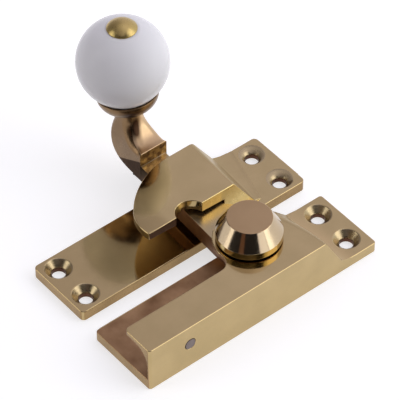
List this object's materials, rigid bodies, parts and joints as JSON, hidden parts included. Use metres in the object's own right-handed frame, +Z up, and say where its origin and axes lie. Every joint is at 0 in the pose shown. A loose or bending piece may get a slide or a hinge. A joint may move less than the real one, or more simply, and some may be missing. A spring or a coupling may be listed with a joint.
{
  "type": "window sash lock",
  "caption": "Brass hook-plate sash fastener: a spring-held lever with a ceramic ball knob swings under a curved hook on the facing plate.",
  "frame": {"origin": "centre of the lever body's flat underside", "axes": "+X along the body to the end with the screw holes, +Y towards the hook plate, +Z up from the sash rail"},
  "size_m": [0.0709, 0.0743, 0.0477],
  "materials": {
    "polished_brass": "polished",
    "white_ceramic": "glazed",
    "bright_steel": "plain",
    "fibre": "matt"
  },
  "bodies": {
    "root": {"hook_plate": "polished_brass", "lever_body": "polished_brass", "pivot_bolt": "bright_steel", "pivot_cap": "polished_brass", "cap_washer": "bright_steel", "lever_washer_top": "bright_steel", "lever_washer_bottom": "bright_steel", "leaf_spring": "bright_steel", "spring_rivet": "bright_steel"},
    "lever": {"lever_arm": "polished_brass", "knob_ball": "white_ceramic", "knob_bolt": "polished_brass", "knob_seat_washer": "fibre"}
  },
  "joints": [
    {"name": "lever_swing", "type": "hinge", "parent": "root", "child": "lever", "pos_m": [0.00605, 0.0031, 0.0075], "axis": [0, 0, 1], "range_deg": [0, 90], "deforming": ["leaf_spring"]}
  ]
}
